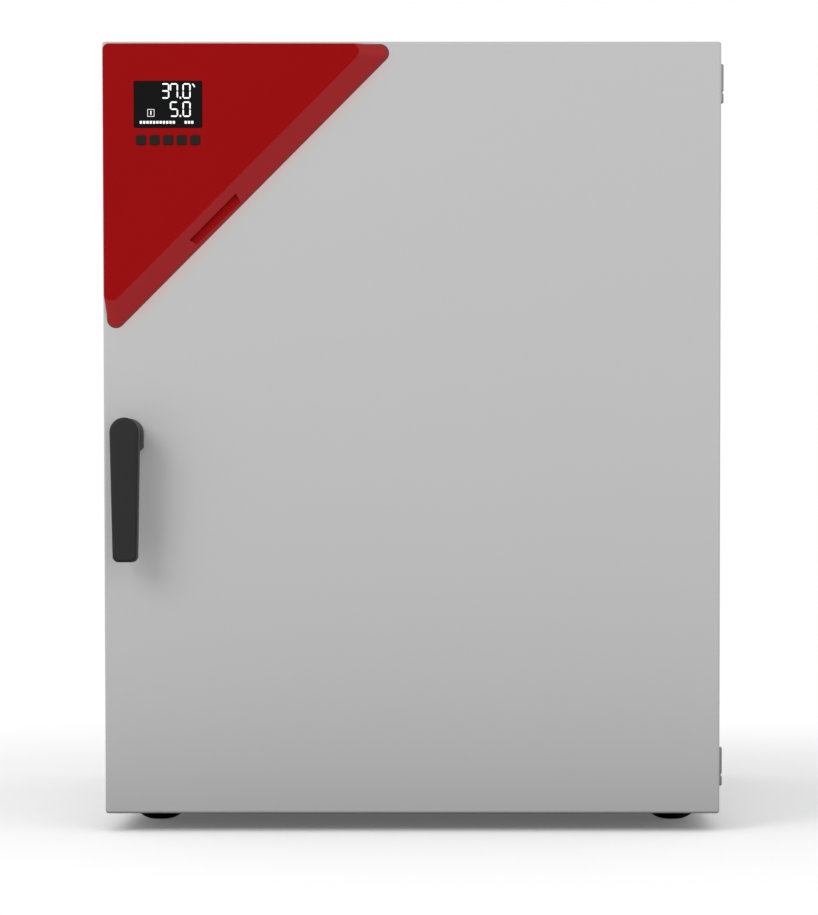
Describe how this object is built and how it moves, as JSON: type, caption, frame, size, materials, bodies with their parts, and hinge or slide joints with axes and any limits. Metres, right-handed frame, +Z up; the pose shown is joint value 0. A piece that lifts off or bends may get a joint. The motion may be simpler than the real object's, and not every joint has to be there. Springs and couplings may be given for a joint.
{
  "type": "carbon dioxide incubator",
  "caption": "Insulated cell-culture incubator cabinet with a hinged outer door, corner control panel, lever latch, inner glass door, slotted shelves and water pan.",
  "frame": {"origin": "on the floor, under the middle of the overall outline", "axes": "+X to the right as one faces the door, +Y away from the viewer, +Z up"},
  "size_m": [0.6874, 0.783, 0.87],
  "materials": {
    "powder_coat": "fine-textured light grey powder coat",
    "panel_red": "satin moulded red",
    "display_black": "gloss tinted window",
    "key_black": "soft-touch dark keys",
    "handle_black": "satin black moulding",
    "rose_grey": "dark grey moulding",
    "stainless": "bead-blasted and brushed stainless",
    "galvanised": "galvanised sheet",
    "hinge_steel": "satin turned steel",
    "brass": "turned",
    "pane_glass": "clear toughened glass",
    "seal_grey": "silicone",
    "gasket_black": "magnetic rubber gasket",
    "foot_black": "black rubber",
    "mineral_wool": "pressed mineral wool",
    "heater_foil": "foil",
    "circuit_green": "circuit board",
    "hose_clear": "silicone hose",
    "filter_white": "filter capsule",
    "inlet_black": "moulded inlet"
  },
  "bodies": {
    "cabinet": {"outer_casing": "powder_coat", "base_pan": "galvanised", "rear_panel": "powder_coat", "rear_screws": "hinge_steel", "front_frame": "stainless", "inner_chamber": "stainless", "chamber_insulation": "mineral_wool", "chamber_heaters": "heater_foil", "glass_door_seal": "seal_grey", "electronics_tray": "galvanised", "power_supply": "galvanised", "controller_board": "circuit_green", "service_plate": "galvanised", "gas_valve": "brass", "gas_hoses": "hose_clear", "gas_inlet_fitting": "brass", "sterile_filter": "filter_white", "gas_nozzle": "stainless", "gas_sensor": "stainless", "temperature_probe": "stainless", "power_inlet": "inlet_black", "hinge_cabinet_upper": "hinge_steel", "hinge_cabinet_lower": "hinge_steel", "latch_keeper": "hinge_steel", "glass_hinge_brackets": "stainless", "glass_door_catch": "stainless"},
    "outer_door": {"door_skin": "powder_coat", "door_inner_panel": "stainless", "door_insulation": "mineral_wool", "door_gasket": "gasket_black", "door_heater": "heater_foil", "control_panel": "panel_red", "display_lens": "display_black", "display_module": "circuit_green", "key_board": "circuit_green", "hinge_door_upper": "hinge_steel", "hinge_door_lower": "hinge_steel", "handle_rose": "rose_grey", "spindle_bush": "brass"},
    "handle": {"handle_grip": "handle_black", "handle_spindle": "hinge_steel", "latch_claw": "hinge_steel"},
    "glass_door": {"glass_pane": "pane_glass", "glass_hinge_leaves": "stainless", "glass_latch_post": "stainless"},
    "glass_latch": {"glass_turn_button": "stainless"},
    "shelf_low": {"shelf_lower": "stainless"},
    "shelf_mid": {"shelf_middle": "stainless"},
    "shelf_high": {"shelf_upper": "stainless"},
    "pan": {"water_pan": "stainless"},
    "foot_front_left": {"foot_front_left": "foot_black"},
    "foot_front_right": {"foot_front_right": "foot_black"},
    "foot_rear_left": {"foot_rear_left": "foot_black"},
    "foot_rear_right": {"foot_rear_right": "foot_black"},
    "key_1": {"key_1": "key_black"},
    "key_2": {"key_2": "key_black"},
    "key_3": {"key_3": "key_black"},
    "key_4": {"key_4": "key_black"},
    "key_5": {"key_5": "key_black"}
  },
  "joints": [
    {"name": "outer_door_swing", "type": "hinge", "parent": "cabinet", "child": "outer_door", "pos_m": [0.344, -0.2765, 0.425], "axis": [0, 0, 1], "range_deg": [0, 110]},
    {"name": "handle_turn", "type": "hinge", "parent": "outer_door", "child": "handle", "pos_m": [-0.3116, -0.3415, 0.4405], "axis": [0, -1, 0], "range_deg": [0, 90]},
    {"name": "glass_door_swing", "type": "hinge", "parent": "cabinet", "child": "glass_door", "pos_m": [0.281, -0.2703, 0.425], "axis": [0, 0, 1], "range_deg": [0, 110]},
    {"name": "glass_latch_turn", "type": "hinge", "parent": "glass_door", "child": "glass_latch", "pos_m": [-0.261, -0.2728, 0.425], "axis": [0, -1, 0], "range_deg": [0, 90]},
    {"name": "lower_shelf_slide", "type": "slide", "parent": "cabinet", "child": "shelf_low", "axis": [0, -1, 0], "range_m": [0, 0.025]},
    {"name": "middle_shelf_slide", "type": "slide", "parent": "cabinet", "child": "shelf_mid", "axis": [0, -1, 0], "range_m": [0, 0.025]},
    {"name": "upper_shelf_slide", "type": "slide", "parent": "cabinet", "child": "shelf_high", "axis": [0, -1, 0], "range_m": [0, 0.025]},
    {"name": "water_pan_slide", "type": "slide", "parent": "cabinet", "child": "pan", "axis": [0, -1, 0], "range_m": [0, 0.025]},
    {"name": "key_1_press", "type": "slide", "parent": "outer_door", "child": "key_1", "axis": [0, 1, 0], "range_m": [0, 0.0008], "stiffness_N_per_m": 1500},
    {"name": "key_2_press", "type": "slide", "parent": "outer_door", "child": "key_2", "axis": [0, 1, 0], "range_m": [0, 0.0008], "stiffness_N_per_m": 1500},
    {"name": "key_3_press", "type": "slide", "parent": "outer_door", "child": "key_3", "axis": [0, 1, 0], "range_m": [0, 0.0008], "stiffness_N_per_m": 1500},
    {"name": "key_4_press", "type": "slide", "parent": "outer_door", "child": "key_4", "axis": [0, 1, 0], "range_m": [0, 0.0008], "stiffness_N_per_m": 1500},
    {"name": "key_5_press", "type": "slide", "parent": "outer_door", "child": "key_5", "axis": [0, 1, 0], "range_m": [0, 0.0008], "stiffness_N_per_m": 1500},
    {"name": "foot_front_left_turn", "type": "hinge", "parent": "cabinet", "child": "foot_front_left", "pos_m": [-0.295, -0.1995, 0], "axis": [0, 0, 1], "continuous": true},
    {"name": "foot_front_right_turn", "type": "hinge", "parent": "cabinet", "child": "foot_front_right", "pos_m": [0.295, -0.1995, 0], "axis": [0, 0, 1], "continuous": true},
    {"name": "foot_rear_left_turn", "type": "hinge", "parent": "cabinet", "child": "foot_rear_left", "pos_m": [-0.295, 0.3035, 0], "axis": [0, 0, 1], "continuous": true},
    {"name": "foot_rear_right_turn", "type": "hinge", "parent": "cabinet", "child": "foot_rear_right", "pos_m": [0.295, 0.3035, 0], "axis": [0, 0, 1], "continuous": true}
  ],
  "couplings": [
    {"joint": "glass_door_swing", "follows": "outer_door_swing", "ratio": 1}
  ]
}
